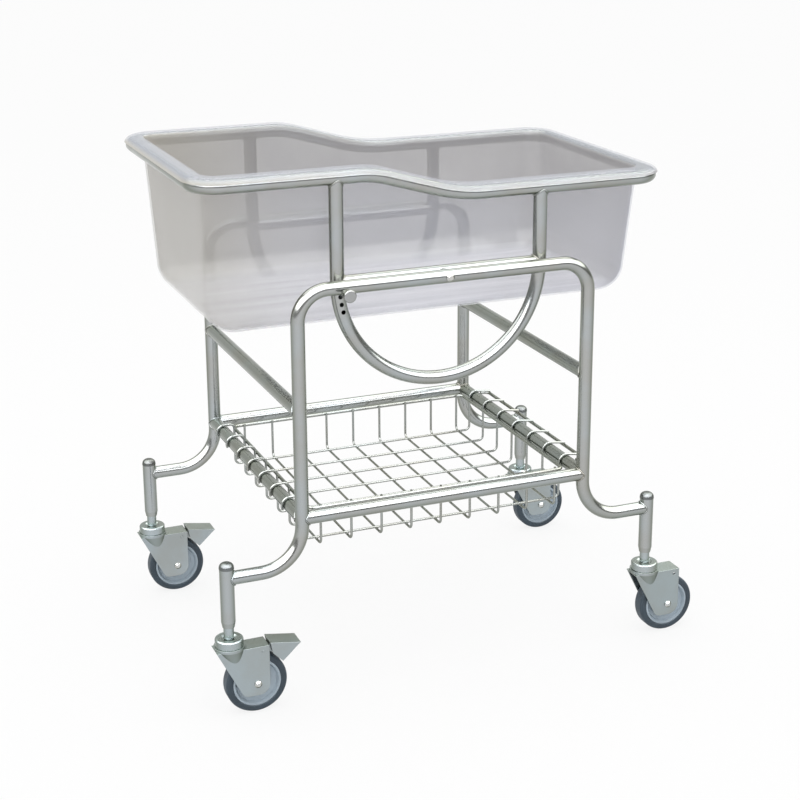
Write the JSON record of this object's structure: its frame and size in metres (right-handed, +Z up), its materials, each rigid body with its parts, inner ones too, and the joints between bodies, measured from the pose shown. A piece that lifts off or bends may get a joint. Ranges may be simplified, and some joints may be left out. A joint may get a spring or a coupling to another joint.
{
  "type": "hospital bassinet",
  "caption": "Tube-framed hospital bassinet on swivel casters: a clear lift-out tub in a tilting cradle with an index lock, above a wire storage basket.",
  "frame": {"origin": "middle of the cart's outer box, on the floor", "axes": "+X towards the foot end, where the rim is lower; +Y away from the side with the tilt lock; +Z up"},
  "size_m": [0.8604, 0.5373, 0.8493],
  "materials": {
    "tube_steel": "satin polished stainless tube",
    "wire_steel": "polished wire",
    "cap_steel": "dull cap",
    "fork_steel": "zinc plated pressing",
    "bolt_steel": "bright plated fastener",
    "clear_plastic": "clear, faintly lavender",
    "hub_plastic": "blue-grey moulding",
    "tread_rubber": "near-black navy rubber",
    "knob_metal": "turned knob"
  },
  "bodies": {
    "cart": {"side_frame_front": "tube_steel", "side_frame_rear": "tube_steel", "cross_tube_head": "tube_steel", "cross_tube_foot": "tube_steel", "shelf_rail_front": "tube_steel", "shelf_rail_rear": "tube_steel", "shelf_rail_head": "tube_steel", "shelf_rail_foot": "tube_steel", "post_caps": "cap_steel", "pivot_bolts": "bolt_steel", "pivot_bushes": "bolt_steel", "pivot_nuts": "bolt_steel", "lock_sleeve": "tube_steel", "caster_post_front_head": "tube_steel", "caster_stem_front_head": "bolt_steel", "bearing_cup_front_head": "fork_steel", "caster_post_front_foot": "tube_steel", "caster_stem_front_foot": "bolt_steel", "bearing_cup_front_foot": "fork_steel", "caster_post_rear_head": "tube_steel", "caster_stem_rear_head": "bolt_steel", "bearing_cup_rear_head": "fork_steel", "caster_post_rear_foot": "tube_steel", "caster_stem_rear_foot": "bolt_steel", "bearing_cup_rear_foot": "fork_steel"},
    "cradle": {"rim_tube": "tube_steel", "yoke_front": "tube_steel", "yoke_rear": "tube_steel", "yoke_bar_front": "tube_steel", "yoke_bar_rear": "tube_steel"},
    "tub": {"tub": "clear_plastic"},
    "basket": {"basket_rim_wire": "wire_steel", "basket_long_wires": "wire_steel", "basket_cross_wires": "wire_steel"},
    "lock_pin": {"lock_plunger": "bolt_steel", "lock_knob": "knob_metal"},
    "caster_front_head": {"caster_fork_front_head": "fork_steel", "axle_bolt_front_head": "bolt_steel", "axle_nut_front_head": "bolt_steel", "brake_pin_front_head": "bolt_steel"},
    "wheel_front_head": {"wheel_hub_front_head": "hub_plastic", "wheel_tread_front_head": "tread_rubber"},
    "brake_front_head": {"brake_pedal_front_head": "fork_steel"},
    "caster_front_foot": {"caster_fork_front_foot": "fork_steel", "axle_bolt_front_foot": "bolt_steel", "axle_nut_front_foot": "bolt_steel"},
    "wheel_front_foot": {"wheel_hub_front_foot": "hub_plastic", "wheel_tread_front_foot": "tread_rubber"},
    "caster_rear_head": {"caster_fork_rear_head": "fork_steel", "axle_bolt_rear_head": "bolt_steel", "axle_nut_rear_head": "bolt_steel", "brake_pin_rear_head": "bolt_steel"},
    "wheel_rear_head": {"wheel_hub_rear_head": "hub_plastic", "wheel_tread_rear_head": "tread_rubber"},
    "brake_rear_head": {"brake_pedal_rear_head": "fork_steel"},
    "caster_rear_foot": {"caster_fork_rear_foot": "fork_steel", "axle_bolt_rear_foot": "bolt_steel", "axle_nut_rear_foot": "bolt_steel"},
    "wheel_rear_foot": {"wheel_hub_rear_foot": "hub_plastic", "wheel_tread_rear_foot": "tread_rubber"}
  },
  "joints": [
    {"name": "cradle_tilt", "type": "hinge", "parent": "cart", "child": "cradle", "pos_m": [-0.02835, 0, 0.6725], "axis": [0, 1, 0], "range_deg": [0, 12.6]},
    {"name": "tub_lift", "type": "slide", "parent": "cradle", "child": "tub", "axis": [0, 0, 1], "range_m": [0, 0.3]},
    {"name": "basket_lift", "type": "slide", "parent": "cart", "child": "basket", "axis": [0, 0, 1], "range_m": [0, 0.1]},
    {"name": "lock_slide", "type": "slide", "parent": "cart", "child": "lock_pin", "axis": [0, 1, 0], "range_m": [0, 0.006]},
    {"name": "swivel_front_head", "type": "hinge", "parent": "cart", "child": "caster_front_head", "pos_m": [-0.39735, -0.241, 0.115], "axis": [0, 0, 1], "continuous": true},
    {"name": "spin_front_head", "type": "hinge", "parent": "caster_front_head", "child": "wheel_front_head", "pos_m": [-0.35735, -0.241, 0.05], "axis": [0, 1, 0], "continuous": true},
    {"name": "brake_front_head", "type": "hinge", "parent": "caster_front_head", "child": "brake_front_head", "pos_m": [-0.34735, -0.241, 0.105], "axis": [0, 1, 0], "range_deg": [0, 12]},
    {"name": "swivel_front_foot", "type": "hinge", "parent": "cart", "child": "caster_front_foot", "pos_m": [0.34065, -0.241, 0.115], "axis": [0, 0, 1], "continuous": true},
    {"name": "spin_front_foot", "type": "hinge", "parent": "caster_front_foot", "child": "wheel_front_foot", "pos_m": [0.38065, -0.241, 0.05], "axis": [0, 1, 0], "continuous": true},
    {"name": "swivel_rear_head", "type": "hinge", "parent": "cart", "child": "caster_rear_head", "pos_m": [-0.39735, 0.241, 0.115], "axis": [0, 0, 1], "continuous": true},
    {"name": "spin_rear_head", "type": "hinge", "parent": "caster_rear_head", "child": "wheel_rear_head", "pos_m": [-0.35735, 0.241, 0.05], "axis": [0, 1, 0], "continuous": true},
    {"name": "brake_rear_head", "type": "hinge", "parent": "caster_rear_head", "child": "brake_rear_head", "pos_m": [-0.34735, 0.241, 0.105], "axis": [0, 1, 0], "range_deg": [0, 12]},
    {"name": "swivel_rear_foot", "type": "hinge", "parent": "cart", "child": "caster_rear_foot", "pos_m": [0.34065, 0.241, 0.115], "axis": [0, 0, 1], "continuous": true},
    {"name": "spin_rear_foot", "type": "hinge", "parent": "caster_rear_foot", "child": "wheel_rear_foot", "pos_m": [0.38065, 0.241, 0.05], "axis": [0, 1, 0], "continuous": true}
  ]
}
